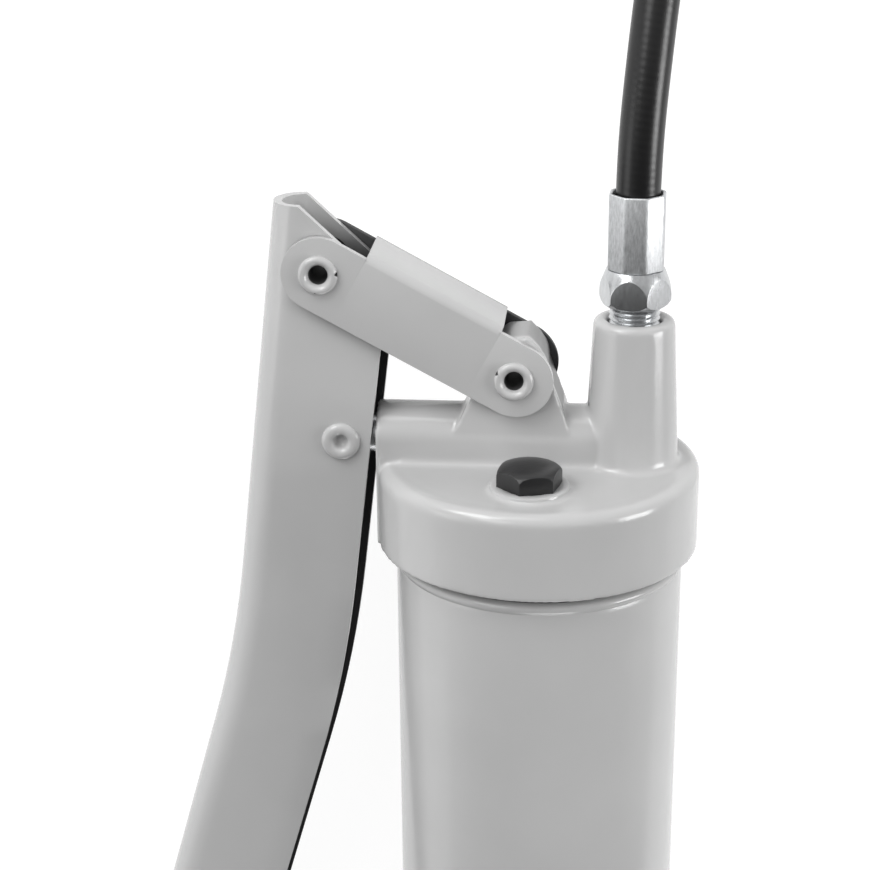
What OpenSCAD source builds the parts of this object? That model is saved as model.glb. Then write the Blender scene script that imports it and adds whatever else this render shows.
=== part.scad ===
// Lever grease applicator: a cast head with a lever pump, a screwed barrel with a spring follower
// and a short outlet hose with a coupler. Drawn upright with the cap's top face at height 0 and the
// plunger along x, then laid on its back as it comes to rest on cap, end cap and lever.

/* [Barrel] */
// Outside diameter of the barrel tube
barrel_od = 56.5; // [50:0.5:62]
// Wall of the barrel tube
barrel_wall = 1.2; // [0.8:0.1:2]
// Length of tube that shows between head and end cap
barrel_show = 233; // [200:1:280]
// Height of the screwed end cap
end_cap_h = 16; // [12:0.5:22]
// Width of the cross handle on the rod
handle_w = 50; // [36:1:58]

/* [Head] */
// Wall of the cap around the tube
cap_wall = 2.8; // [2.4:0.1:4]
// Height of the cap
cap_h = 17; // [14:0.5:22]
// Radius of the cap's upper edge
cap_edge = 4.6; // [2:0.2:6]
// Half width of the rib that holds the plunger
rib_r = 6.3; // [5.6:0.1:7.2]
// Thickness of the lug under the link
lug_t = 12; // [10:0.5:14]
// Distance of the outlet boss from the barrel axis
boss_x = 17.7; // [16:0.1:20]
// Height of the outlet boss
boss_h = 28.6; // [26:0.2:34]
// Top radius of the outlet boss
boss_top_r = 7.8; // [7:0.1:9]
// Width across flats of the black plug
plug_af = 11; // [9:0.5:12]

/* [Pump] */
// Diameter of the plunger
plunger_d = 8; // [6:0.5:9]
// Height of the link pivot above the cap
link_pivot_z = 18; // [16:0.5:20]
// Distance between the link's two pivots
link_len = 41.9; // [38:0.1:46]
// Radius of the link's rounded ends
link_r = 7.1; // [6.4:0.1:8]
// Sheet thickness of the link
link_t = 1.5; // [1:0.1:2]
// Depth of the lever channel from web to open edge
lever_d = 24; // [21:0.5:27]
// Sheet thickness of the lever
lever_t = 1.6; // [1:0.1:2]
// Diameter of the rivet heads
rivet_head = 7.5; // [6.6:0.1:8.5]
// Length of the lever's lowest straight part
lever_grip = 76; // [50:1:95]

/* [Hose] */
// Outside diameter of the hose
hose_d = 8.4; // [7.5:0.1:9]
// Width across flats of the hose nipples
nipple_af = 12; // [11:0.5:14]
// Outside diameter of the coupler sleeve
coupler_d = 15; // [14:0.5:18]

/* [Hidden] */
$fn = 64;
paint = [0.73, 0.73, 0.73];
zinc = [0.82, 0.83, 0.85];
steel = [0.6, 0.61, 0.63];
black = [0.07, 0.07, 0.08];
rubber = [0.05, 0.05, 0.05];

// Running gaps: plunger and rivets, side play of the channels, screwed parts
run_gap = 0.05;
side_gap = 0.3;
screw_gap = 0.05;

// Cap and barrel levels
barrel_r = barrel_od / 2;
cap_r = barrel_r + cap_wall;
cap_roof = 4.6;
gasket_t = 1.6;
tube_top = -cap_roof - gasket_t;
end_top = -cap_h - barrel_show;
end_bottom = end_top - end_cap_h;
end_floor = 3;
tube_bottom = end_bottom + end_floor;

// Head details
face_x = -cap_r - 0.5;
plunger_z = 4.4;
collar_h = 1;
plug_x = -1.2;
plug_y = -17.6;
plug_turn = 16;
boss_base_r = boss_top_r + 1.3;
boss_rim = 1.3;
thread_r = 4.85;
seat_z = 11;
chamber_top = 20;
seat_r = 1.8;
ball_r = 2.9;
ball_z = seat_z + sqrt(ball_r * ball_r - seat_r * seat_r) + 0.05;
chamber_r = ball_r + 0.35;

// Linkage: L in the lug, P in the plunger's eye, T where lever and link meet
l_x = -4.7;
l_z = link_pivot_z;
link_a = 28.8;
t_x = l_x - link_len * cos(link_a);
t_z = l_z + link_len * sin(link_a);
p_x = face_x - 6.7;
p_z = plunger_z;
rivet_r = 2.5;
hole_r = rivet_r + run_gap;
open_r = rivet_r + 1.9;
bore_r = 1.9;

// Lever: channel width between lug width and link, set back from P by its web
lever_w = lug_t;
link_in = lug_t / 2 + side_gap;
link_out = link_in + link_t;
lever_in = lever_w / 2 - lever_t;
p_depth = lever_d - 6.1;
lean_1 = 7;
lean_2 = 16.3;
bend_1_r = 230;
bend_2_r = 160;
bend_1_w = -30.2;
flare_l = 60;
top_cut_z = t_z + 12.5;
slant_r = 6.6;
slant_a = 46.7;
lap = 0.5;
press_t = 0.02;

// Outer edge of the lever's web, followed down to the straight grip part
a0_x = p_x - p_depth * cos(lean_1) + bend_1_w * sin(lean_1);
a1_x = a0_x - bend_1_r * cos(lean_1) + bend_1_r * cos(lean_2);
a2_x = a1_x - flare_l * sin(lean_2);
a3_x = a2_x + bend_2_r * cos(lean_2) - bend_2_r;
a0_z = p_z + p_depth * sin(lean_1) + bend_1_w * cos(lean_1);
a1_z = a0_z + bend_1_r * sin(lean_1) - bend_1_r * sin(lean_2);
a2_z = a1_z - flare_l * cos(lean_2);
a3_z = a2_z - bend_2_r * sin(lean_2);
grip_x = a3_x + lever_w / 2;

// Follower stack and rod
rod_r = 3;
nut_top = -14;
nut_h = 5;
plate_t = 1.5;
cup_h = 4;
plate_1 = nut_top - nut_h;
cup_top = plate_1 - plate_t;
plate_2 = cup_top - cup_h;
spring_top = plate_2 - plate_t;
tube_in = barrel_r - barrel_wall;
rod_end = end_bottom - 6;
handle_r = 3.5;
handle_z = rod_end - 4;
y_low = handle_z - handle_r;

// Laying down: rolled until the lever's grip touches the floor beside the cap
roll = asin((cap_r - lever_w / 2) / -grip_x);
x_mid = (cap_r + grip_x * cos(roll) - lever_w / 2) / 2;

// Hose nipple and ferrule lengths
nip_low = boss_h + 2.8;
hex_h = 6.9;
hex_turn = -11.5;
tail_l = 9;
nip_top = nip_low + hex_h;
ferrule_l = 14.5;
hose_r = hose_d / 2;
ferrule_in = hose_r + 0.25;
ferrule_r = hose_r + 1.3;
hose_start = nip_top + tail_l;

// Hose route: offsets along the floor from the hose end, share of the start height, share of lift
exit_x = boss_x * cos(roll);
exit_z = cap_r + boss_x * sin(roll);
lift = coupler_d / 2 - hose_r;
route_rows = [
  [0, 0, 1, 0],
  [0.5, 16, 0.995, 0],
  [2.4, 32, 0.94, 0],
  [5.3, 48, 0.83, 0],
  [9.2, 64, 0.64, 0],
  [13.8, 80, 0.4, 0],
  [18.6, 96, 0.18, 0],
  [22.4, 112, 0.05, 0],
  [24, 128, 0, 0],
  [21.5, 143.7, 0, 0],
  [14.1, 157.9, 0, 0],
  [2.7, 169, 0, 0],
  [-11.7, 175.9, 0, 0],
  [-27.5, 178, 0, 0],
  [-43.1, 175, 0, 0.03],
  [-57, 167.2, 0, 0.15],
  [-67.8, 155.5, 0, 0.4],
  [-74.3, 140.9, 0, 0.75],
  [-78.4, 125.5, 0, 0.97],
  [-82.6, 110, 0, 1]
];
route = [for (q = route_rows) [exit_x + q[0], hose_start + q[1],
  hose_r + q[2] * (exit_z - hose_r) + q[3] * lift]];
tip_turn = -105;
tip = route[len(route) - 1];
y_mid = (nip_top + ferrule_l + y_low) / 2;

// Turns the upright gun onto its back and rolls it onto the lever
module lay() {
  translate([-x_mid, -y_mid, cap_r])
    rotate([-90, 0, 0])
      rotate([0, 0, -roll])
        children();
}

// Sets a piece drawn along z at the hose's lying end
module at_tip() {
  translate([tip[0] - x_mid, tip[1] - y_mid, tip[2]])
    rotate([0, 0, tip_turn])
      rotate([0, 90, 0])
        children();
}

// Points of a smooth curve through the route and rings around it
function mix(a, b, c, d, t) = 0.5 * (2 * b + (c - a) * t + (2 * a - 5 * b + 4 * c - d) * t * t
  + (3 * b - a - 3 * c + d) * t * t * t);
function at(p, i) = p[max(0, min(len(p) - 1, i))];
function smooth(p, n) = [for (i = [0:len(p) - 2]) for (k = [0:n - 1])
  mix(at(p, i - 1), p[i], p[i + 1], at(p, i + 2), k / n), p[len(p) - 1]];
function unit(v) = v / norm(v);
function heading(p, i) = unit(at(p, i + 1) - at(p, i - 1));
function side(t) = unit(cross([0, 0, 1], t));
function ring(c, t, r, n) = [for (k = [0:n - 1])
  c + r * cos(k * 360 / n) * side(t) + r * sin(k * 360 / n) * cross(t, side(t))];
function skin(m, n) = concat([[for (k = [0:n - 1]) k]],
  [for (i = [0:m - 2]) for (k = [0:n - 1])
    [i * n + k, (i + 1) * n + k, (i + 1) * n + (k + 1) % n, i * n + (k + 1) % n]],
  [[for (k = [0:n - 1]) (m - 1) * n + n - 1 - k]]);

// Round tube along a list of points
module sweep(p, r, n) {
  pts = [for (i = [0:len(p) - 1]) each ring(p[i], heading(p, i), r, n)];
  polyhedron(points = pts, faces = skin(len(p), n), convexity = 8);
}

// Helical spring between two heights, its first and last turn lie close
module coil(z0, z1, r, wire, turns, steps) {
  n = turns * steps;
  close = 2.3 * wire;
  wide = (z1 - z0 - 2 * wire - 2 * close) / (turns - 2);
  p = [for (i = [0:n]) [r * cos(i * 360 / steps), r * sin(i * 360 / steps), z0 + wire
    + close * (min(i, steps) + max(0, i - n + steps)) / steps
    + wide * max(0, min(i, n - steps) - steps) / steps]];
  pts = [for (i = [0:n]) each [for (k = [0:5])
    p[i] + wire * cos(k * 60 + 30) * [cos(i * 360 / steps), sin(i * 360 / steps), 0]
      + wire * sin(k * 60 + 30) * [0, 0, 1]]];
  polyhedron(points = pts, faces = skin(n + 1, 6), convexity = 12);
}

// Tubular rivet across the channels, head faces at the given half width
module rivet(half, hole, deep) {
  lip = 0.6;
  rotate([90, 0, 0])
    rotate_extrude()
      difference() {
        union() {
          translate([0, -half - 0.1])
            square([rivet_r, 2 * half + 0.2]);
          for (s = [0, 1])
            mirror([0, s]) {
              translate([0, half])
                square([rivet_head / 2 - lip, 2 * lip]);
              translate([rivet_head / 2 - lip, half + lip])
                circle(lip);
            }
        }
        for (s = [0, 1])
          mirror([0, s])
            translate([0, half + 2 * lip - deep])
              square([hole, deep + 1]);
      }
}

// Cap with a rounded upper edge, also used for the end cap
module cup_solid(h, edge) {
  rotate_extrude()
    union() {
      translate([0, -h])
        square([cap_r, h - edge]);
      translate([0, -h])
        square([cap_r - edge, h]);
      translate([cap_r - edge, -edge])
        circle(edge);
    }
}

// Cast head: cap, rib, lug, boss and plug seat in one piece with its bores
module head_casting() {
  color(paint)
    lay()
      difference() {
        union() {
          cup_solid(cap_h, cap_edge);
          head_rib();
          head_lug();
          head_boss();
          translate([plug_x, plug_y, -1])
            cylinder(r = 7.2, h = 1 + collar_h);
          translate([plug_x, plug_y, 0])
            rotate_extrude()
              translate([7, 0])
                difference() {
                  square([1.2, 0.8]);
                  translate([1.2, 0.8])
                    circle(0.8);
                }
        }
        head_bores();
      }
}

// Rib with a round back, its end face runs down the cap as a flat pad
module head_rib() {
  translate([face_x, 0, plunger_z])
    rotate([0, 90, 0])
      cylinder(r = rib_r, h = boss_x - face_x);
  translate([face_x, -rib_r, -2])
    cube([boss_x - face_x, 2 * rib_r, plunger_z + 2]);
  translate([face_x, -rib_r, -cap_h])
    cube([12, 2 * rib_r, cap_h]);
  for (s = [0, 1])
    mirror([0, s, 0])
      translate([-cap_r + cap_edge, rib_r - 0.2, -0.2])
        difference() {
          cube([boss_x + cap_r - cap_edge, 1.6, 1.6]);
          translate([-1, 1.6, 1.6])
            rotate([0, 90, 0])
              cylinder(r = 1.4, h = boss_x + cap_r);
        }
}

// Lug that carries the link pivot, its top follows the inside of the link
module head_lug() {
  translate([l_x, 0, l_z])
    rotate([90, 0, 0])
      translate([0, 0, -lug_t / 2])
        linear_extrude(lug_t)
          union() {
            polygon([[-13.4, 3 - l_z], [-11.5, -11.1], [-4.5, 3.8], [-2.6, 6.7], [-1.4, 7.6],
              [2.7, 7.9], [4.6, 5.9], [9.7, -8.1], [11.6, 3 - l_z]]);
            translate([0.1, 1.2])
              circle(6.3);
          }
}

// Tapered outlet boss with a rounded rim
module head_boss() {
  translate([boss_x, 0, -2])
    rotate_extrude()
      union() {
        polygon([[0, 0], [boss_base_r + 0.1, 0], [boss_top_r, boss_h + 2 - boss_rim],
          [boss_top_r - boss_rim, boss_h + 2], [0, boss_h + 2]]);
        translate([boss_top_r - boss_rim, boss_h + 2 - boss_rim])
          circle(boss_rim);
      }
  translate([boss_x, 0, 0])
    rotate_extrude()
      translate([boss_base_r - 0.3, -0.1])
        difference() {
          square([1.6, 1.4]);
          translate([1.6, 1.4])
            circle(1.3);
        }
}

// Bores of the head: tube socket, plunger, ports, pivot, check valve and threads
module head_bores() {
  translate([0, 0, -cap_h - 1])
    cylinder(r = barrel_r + screw_gap, h = cap_h + 1 - cap_roof);
  translate([face_x - 1, 0, plunger_z])
    rotate([0, 90, 0])
      cylinder(d = plunger_d + 2 * run_gap, h = boss_x + 2.5 - face_x + 1);
  translate([face_x + 4, 0, plunger_z])
    rotate([0, 90, 0])
      cylinder(r = plunger_d / 2 + 1.35, h = 2.4);
  translate([-10, 0, -cap_roof - 1])
    cylinder(r = 3, h = cap_roof + 1 + plunger_z);
  translate([l_x, 0, l_z])
    rotate([90, 0, 0])
      cylinder(r = hole_r, h = 40, center = true);
  translate([boss_x, 0, plunger_z])
    cylinder(r = seat_r, h = 12);
  translate([boss_x, 0, seat_z])
    cylinder(r = chamber_r, h = chamber_top - seat_z + 1);
  translate([boss_x, 0, chamber_top])
    cylinder(r = thread_r + screw_gap, h = boss_h);
  translate([boss_x, 0, boss_h - 1.2])
    cylinder(r1 = thread_r + screw_gap, r2 = thread_r + 0.8, h = 1.3);
  translate([plug_x, plug_y, -cap_roof - 1])
    cylinder(r = 3.9, h = cap_roof + collar_h + 2);
}

// Steel tube with a rolled bead just below the cap
module barrel_tube() {
  color(paint)
    lay()
      difference() {
        union() {
          translate([0, 0, tube_bottom])
            cylinder(r = barrel_r, h = tube_top - tube_bottom);
          translate([0, 0, -cap_h - 2.2])
            rotate_extrude()
              translate([barrel_r - 0.5, 0])
                circle(0.9);
        }
        translate([0, 0, tube_bottom - 1])
          cylinder(r = tube_in, h = tube_top - tube_bottom + 2);
      }
}

// Flat ring between the tube's end and the cap's roof
module barrel_gasket() {
  color(rubber)
    lay()
      translate([0, 0, tube_top])
        difference() {
          cylinder(r = barrel_r - 0.2, h = gasket_t);
          translate([0, 0, -1])
            cylinder(r = tube_in - 1.2, h = gasket_t + 2);
        }
}

// Screwed cap at the lower end with a hole for the rod
module end_cap() {
  color(paint)
    lay()
      difference() {
        translate([0, 0, end_bottom])
          mirror([0, 0, 1])
            cup_solid(end_cap_h, 2.4);
        translate([0, 0, tube_bottom])
          cylinder(r = barrel_r + screw_gap, h = end_cap_h + 1);
        translate([0, 0, end_bottom - 1])
          cylinder(r = rod_r + run_gap, h = end_floor + 2);
      }
}

// Pull rod with a shoulder below the follower
module follower_rod() {
  color(steel)
    lay()
      union() {
        translate([0, 0, rod_end])
          cylinder(r = rod_r, h = nut_top + 1.5 - rod_end);
        translate([0, 0, spring_top - 2])
          cylinder(r = rod_r + 2, h = 2);
      }
}

// Cross handle with a hub on the rod's end
module rod_handle() {
  color(steel)
    lay()
      union() {
        translate([0, 0, handle_z])
          cylinder(r = 5, h = rod_end - handle_z);
        translate([-handle_w / 2 + handle_r, 0, handle_z])
          rotate([0, 90, 0])
            cylinder(r = handle_r, h = handle_w - 2 * handle_r);
        for (s = [-1, 1])
          translate([s * (handle_w / 2 - handle_r), 0, handle_z])
            sphere(handle_r);
      }
}

// Hexagon nut that clamps the follower on the rod
module follower_nut() {
  color(zinc)
    lay()
      translate([0, 0, plate_1])
        difference() {
          cylinder(r = 5.77, h = nut_h, $fn = 6);
          translate([0, 0, -1])
            cylinder(r = rod_r + screw_gap, h = nut_h + 2);
        }
}

// Steel disc above the rubber cup
module follower_plate_upper() {
  color(steel)
    lay()
      translate([0, 0, cup_top])
        difference() {
          cylinder(r = tube_in - 4, h = plate_t);
          translate([0, 0, -1])
            cylinder(r = rod_r + screw_gap, h = plate_t + 2);
        }
}

// Rubber cup that wipes the tube, with a skirt around its upper side
module follower_cup() {
  color(rubber)
    lay()
      difference() {
        translate([0, 0, plate_2])
          cylinder(r = tube_in - 0.4, h = cup_h + 4);
        translate([0, 0, cup_top])
          cylinder(r = tube_in - 3, h = 5);
        translate([0, 0, plate_2 - 1])
          cylinder(r = rod_r + screw_gap, h = cup_h + 2);
      }
}

// Steel disc under the rubber cup, seat of the spring
module follower_plate_lower() {
  color(steel)
    lay()
      translate([0, 0, spring_top])
        difference() {
          cylinder(r = tube_in - 3, h = plate_t);
          translate([0, 0, -1])
            cylinder(r = rod_r + screw_gap, h = plate_t + 2);
        }
}

// Long spring between follower and end cap
module follower_spring() {
  color(steel)
    lay()
      coil(tube_bottom, spring_top, tube_in - 7, 1.1, 12, 14);
}

// Plunger with a flat eye for the lever's rivet
module plunger() {
  color(zinc)
    lay()
      difference() {
        union() {
          translate([p_x, 0, p_z])
            rotate([0, 90, 0])
              cylinder(d = plunger_d, h = 8 - p_x);
          translate([p_x, 0, p_z])
            rotate([90, 0, 0])
              cylinder(r = 5.2, h = 2 * (lever_in - side_gap), center = true);
        }
        translate([p_x, 0, p_z])
          rotate([90, 0, 0])
            cylinder(r = hole_r, h = 30, center = true);
      }
}

// Packing ring in the bore's mouth
module plunger_seal() {
  color(rubber)
    lay()
      translate([face_x + 4, 0, plunger_z])
        rotate([0, 90, 0])
          difference() {
            cylinder(r = plunger_d / 2 + 1.3, h = 2.4);
            translate([0, 0, -1])
              cylinder(r = plunger_d / 2 + run_gap, h = 5);
          }
}

// Section of the lever: channel with a full-round web at x = 0, a hair thicker in the bends
module lever_section(more) {
  out = lever_w / 2 + more;
  in = lever_in - more;
  difference() {
    union() {
      translate([lever_w / 2, 0])
        circle(out);
      translate([lever_w / 2, -out])
        square([lever_d - lever_w / 2 + more, 2 * out]);
    }
    translate([lever_w / 2, 0])
      circle(in);
    translate([lever_w / 2, -in])
      square([lever_d, 2 * in]);
  }
}

// Pressed lever: upright part, bend, flare, bend back and straight grip with a round end
module lever() {
  color(paint)
    lay()
      difference() {
        translate([p_x, 0, p_z])
          rotate([0, lean_1, 0])
            translate([-p_depth, 0, bend_1_w]) {
              translate([0, 0, -lap])
                linear_extrude(100)
                  lever_section(0);
              translate([-bend_1_r, 0, 0]) {
                lever_bend(lean_2 - lean_1, bend_1_r)
                  lever_section(press_t);
                rotate([0, lean_2 - lean_1, 0])
                  translate([bend_1_r, 0, -flare_l]) {
                    translate([0, 0, -lap])
                      linear_extrude(flare_l + 2 * lap)
                        lever_section(0);
                    lever_grip_part();
                  }
              }
            }
        lever_cuts();
      }
}

// Part of a bend that runs down from the plane of its section
module lever_bend(angle, r) {
  rotate([90, 0, 0])
    rotate([0, 0, -angle])
      rotate_extrude(angle = angle)
        translate([r, 0])
          children();
}

// Bend back and straight grip, below the flare
module lever_grip_part() {
  translate([bend_2_r, 0, 0]) {
    mirror([1, 0, 0])
      lever_bend(lean_2, bend_2_r)
        mirror([1, 0])
          lever_section(press_t);
    rotate([0, -lean_2, 0])
      translate([-bend_2_r, 0, -lever_grip])
        difference() {
          linear_extrude(lever_grip + lap)
            lever_section(0);
          translate([lever_d / 2, 0, 0])
            rotate([90, 0, 0])
              translate([0, 0, -20])
                difference() {
                  translate([-lever_d, -lever_d])
                    cube([2 * lever_d, lever_d + 12, 40]);
                  translate([0, 12, -1])
                    cylinder(r = lever_d / 2, h = 42);
                  translate([-lever_d, 12, -1])
                    cube([2 * lever_d, 2, 42]);
                }
        }
  }
}

// Top cut, slanted flange cut and pivot holes of the lever
module lever_cuts() {
  translate([p_x - 60, -30, top_cut_z])
    cube([120, 60, 80]);
  translate([t_x, 0, t_z])
    rotate([0, -slant_a, 0])
      translate([slant_r, -30, -40])
        cube([60, 60, 120]);
  translate([t_x, 0, t_z])
    rotate([90, 0, 0])
      cylinder(r = open_r, h = 40, center = true);
  translate([p_x, 0, p_z])
    rotate([90, 0, 0])
      cylinder(r = hole_r, h = 40, center = true);
}

// Rivet through lever and plunger eye, closed with a shallow dimple
module lever_plunger_rivet() {
  color(paint)
    lay()
      translate([p_x, 0, p_z])
        rivet(lever_w / 2, 1.35, 0.7);
}

// Pressed link: channel with its web on top, cut short at both ends
module link() {
  web_a = 6.5;
  web_b = link_len - 6.7;
  top = link_r + 1;
  color(paint)
    lay()
      translate([t_x, 0, t_z])
        rotate([0, link_a, 0])
          difference() {
            union() {
              translate([web_a, 0, 0])
                rotate([90, 0, 90])
                  linear_extrude(web_b - web_a)
                    link_section(top);
              for (s = [-1, 1])
                translate([0, s * (link_out - link_t / 2), 0])
                  rotate([90, 0, 0])
                    linear_extrude(link_t, center = true)
                      link_side();
            }
            for (x = [0, link_len])
              translate([x, 0, 0])
                rotate([90, 0, 0])
                  cylinder(r = hole_r, h = 40, center = true);
          }
}

// Side plate of the link with rounded ends, straight up to where the web bends over
module link_side() {
  for (x = [0, link_len])
    translate([x, 0])
      circle(link_r);
  translate([0, -link_r])
    square([link_len, 2 * link_r]);
}

// Section of the link with rounded upper corners
module link_section(top) {
  edge = 2;
  difference() {
    union() {
      translate([-link_out, -link_r])
        square([2 * link_out, link_r + top - edge]);
      translate([-link_out + edge, -link_r])
        square([2 * link_out - 2 * edge, link_r + top]);
      for (s = [-1, 1])
        translate([s * (link_out - edge), top - edge])
          circle(edge);
    }
    translate([-link_in, -link_r - 1])
      square([2 * link_in, link_r + 1 + top - link_t]);
  }
}

// Tubular rivet between lever and link
module lever_link_rivet() {
  color(paint)
    lay()
      translate([t_x, 0, t_z])
        rivet(link_out, bore_r, 40);
}

// Tubular rivet between link and lug
module link_head_rivet() {
  color(paint)
    lay()
      translate([l_x, 0, l_z])
        rivet(link_out, bore_r, 40);
}

// Black hexagon plug with a chamfered crown and a threaded stem
module bleeder_plug() {
  color(black)
    lay()
      translate([plug_x, plug_y, collar_h])
        rotate([0, 0, plug_turn])
          union() {
            intersection() {
              cylinder(d = plug_af / cos(30), h = 6, $fn = 6);
              rotate_extrude()
                polygon([[0, 0], [plug_af, 0], [plug_af, 1.4], [plug_af / 2 - 1.6, 4.3], [0, 4.9]]);
            }
            translate([0, 0, -collar_h - 4])
              cylinder(r = 3.9 - screw_gap, h = collar_h + 4.1);
          }
}

// Ball of the outlet check valve
module check_ball() {
  color(steel)
    lay()
      translate([boss_x, 0, ball_z])
        sphere(ball_r);
}

// Small spring that presses the ball on its seat
module check_spring() {
  color(steel)
    lay()
      translate([boss_x, 0, 0])
        coil(ball_z + ball_r + 0.1, chamber_top - 0.1, 2.1, 0.3, 4, 12);
}

// Threaded hexagon nipple with a tail in the hose, drawn from the hex base upward
module nipple(stem) {
  difference() {
    union() {
      translate([0, 0, -stem])
        cylinder(r = thread_r, h = stem + 0.1);
      intersection() {
        rotate([0, 0, hex_turn])
          cylinder(d = nipple_af / cos(30), h = hex_h, $fn = 6);
        rotate_extrude()
          polygon([[0, 0], [nipple_af / 2 + 0.2, 0], [nipple_af / 2 + 1, 0.8], [nipple_af / 2 + 1, 1.8],
            [nipple_af / 2 + 0.6, 4], [ferrule_r + 0.1, hex_h], [0, hex_h]]);
      }
      cylinder(r = 3, h = hex_h + tail_l);
    }
    translate([0, 0, -stem - 1])
      cylinder(r = 1.7, h = stem + hex_h + tail_l + 2);
  }
}

// Crimped sleeve with eight flats and a plain lip at its mouth
module ferrule() {
  difference() {
    union() {
      intersection() {
        cylinder(r = ferrule_r, h = ferrule_l - 0.8);
        rotate([0, 0, 22.5])
          cylinder(r = (ferrule_r - 0.3) / cos(22.5), h = ferrule_l, $fn = 8);
      }
      translate([0, 0, ferrule_l - 1])
        cylinder(r = ferrule_r - 0.15, h = 1);
    }
    translate([0, 0, -1])
      cylinder(r = ferrule_in, h = ferrule_l + 2);
  }
}

// Nipple screwed into the boss
module hose_nipple_head() {
  color(zinc)
    lay()
      translate([boss_x, 0, nip_low])
        nipple(nip_low - chamber_top);
}

// Crimped sleeve on the hose end at the head
module hose_ferrule_head() {
  color(zinc)
    lay()
      translate([boss_x, 0, nip_top])
        ferrule();
}

// Ribbed rubber hose: down from the sleeve to the floor and round in one turn
module hose() {
  color(rubber)
    translate([-x_mid, -y_mid, 0])
      sweep(smooth(route, 3), hose_r, 12);
}

// Crimped sleeve on the hose's other end
module hose_ferrule_tip() {
  color(zinc)
    at_tip()
      translate([0, 0, tail_l])
        mirror([0, 0, 1])
          ferrule();
}

// Nipple screwed into the coupler
module hose_nipple_tip() {
  color(zinc)
    at_tip()
      translate([0, 0, tail_l + hex_h])
        mirror([0, 0, 1])
          nipple(8);
}

// Coupler body with a threaded socket and a reduced front end
module coupler_body() {
  color(zinc)
    at_tip()
      translate([0, 0, tail_l + hex_h + 1])
        difference() {
          union() {
            cylinder(r = 6.3, h = 14);
            cylinder(r = 5.3, h = 20);
          }
          translate([0, 0, -1])
            cylinder(r = thread_r + screw_gap, h = 9);
          translate([0, 0, -1])
            cylinder(r = 1.5, h = 40);
        }
}

// Rubber seal behind the jaws
module coupler_seal() {
  color(rubber)
    at_tip()
      translate([0, 0, tail_l + hex_h + 21])
        difference() {
          cylinder(r = 4.6, h = 2);
          translate([0, 0, -1])
            cylinder(r = 1.5, h = 4);
        }
}

// Four jaws around the mouth, one split ring
module coupler_jaws() {
  color(steel)
    at_tip()
      translate([0, 0, tail_l + hex_h + 23])
        difference() {
          cylinder(r = 5.2, h = 6);
          translate([0, 0, -1])
            cylinder(r = 3.35, h = 9);
          for (a = [0, 90])
            rotate([0, 0, a])
              translate([-10, -0.3, 1.4])
                cube([20, 0.6, 9]);
        }
}

// Sleeve screwed on the body, tapered nose around the jaws
module coupler_sleeve() {
  color(zinc)
    at_tip()
      translate([0, 0, tail_l + hex_h + 15.2])
        difference() {
          rotate_extrude()
            polygon([[0, 0], [coupler_d / 2 - 0.6, 0], [coupler_d / 2, 0.6], [coupler_d / 2, 9.5],
              [coupler_d / 2 - 1.4, 15.4], [0, 15.4]]);
          translate([0, 0, -1])
            cylinder(r = 5.3 + screw_gap, h = 15);
          translate([0, 0, -1])
            cylinder(r = 4.6, h = 20);
        }
}

head_casting();
barrel_tube();
barrel_gasket();
end_cap();
follower_rod();
rod_handle();
follower_nut();
follower_plate_upper();
follower_cup();
follower_plate_lower();
follower_spring();
plunger();
plunger_seal();
lever();
lever_plunger_rivet();
link();
lever_link_rivet();
link_head_rivet();
bleeder_plug();
check_ball();
check_spring();
hose_nipple_head();
hose_ferrule_head();
hose();
hose_ferrule_tip();
hose_nipple_tip();
coupler_body();
coupler_seal();
coupler_jaws();
coupler_sleeve();
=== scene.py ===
import math

import bpy
from mathutils import Matrix, Vector


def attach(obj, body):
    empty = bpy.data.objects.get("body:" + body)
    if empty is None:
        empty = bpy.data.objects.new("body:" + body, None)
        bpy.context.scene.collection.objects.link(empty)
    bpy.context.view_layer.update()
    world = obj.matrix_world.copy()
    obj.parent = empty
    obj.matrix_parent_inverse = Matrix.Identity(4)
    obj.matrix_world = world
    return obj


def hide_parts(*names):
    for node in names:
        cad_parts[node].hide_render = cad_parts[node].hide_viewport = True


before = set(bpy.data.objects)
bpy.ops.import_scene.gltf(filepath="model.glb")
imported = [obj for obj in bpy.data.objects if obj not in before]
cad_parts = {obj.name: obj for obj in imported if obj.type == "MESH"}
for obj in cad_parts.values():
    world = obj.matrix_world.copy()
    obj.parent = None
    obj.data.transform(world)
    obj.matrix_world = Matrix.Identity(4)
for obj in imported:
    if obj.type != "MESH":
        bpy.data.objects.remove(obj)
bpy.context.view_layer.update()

# Camera: a long lens that looks down on the lying gun, from above the front of the barrel and a little
# past its head, so that the head stands upright in the picture. Pieces below are modelled in millimetres
# on the upright gun (x to the outlet, y away from the viewer, z up the barrel) and then laid down.
roll = math.radians(17.244786)
upright_to_lying = Matrix((
    (math.cos(roll), math.sin(roll), 0, 27.825056),
    (0, 0, 1, 113.35),
    (math.sin(roll), -math.cos(roll), 0, 31.05),
    (0, 0, 0, 1)))
laid = Matrix.Scale(0.001, 4) @ upright_to_lying
look = Matrix((
    (0.995692, -0.023081, 0.089808, 13.775),
    (0.092152, 0.353939, -0.930717, -355.411),
    (-0.010305, 0.934983, 0.354544, 139.168),
    (0, 0, 0, 1)))
camera = bpy.data.objects.new("camera", bpy.data.cameras.new("camera"))
camera.data.lens = 80.717
camera.data.sensor_width = 36
bpy.context.scene.collection.objects.link(camera)
bpy.context.scene.camera = camera
stand = upright_to_lying @ look
stand.translation = stand.translation * 0.001
camera.matrix_world = stand

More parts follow.
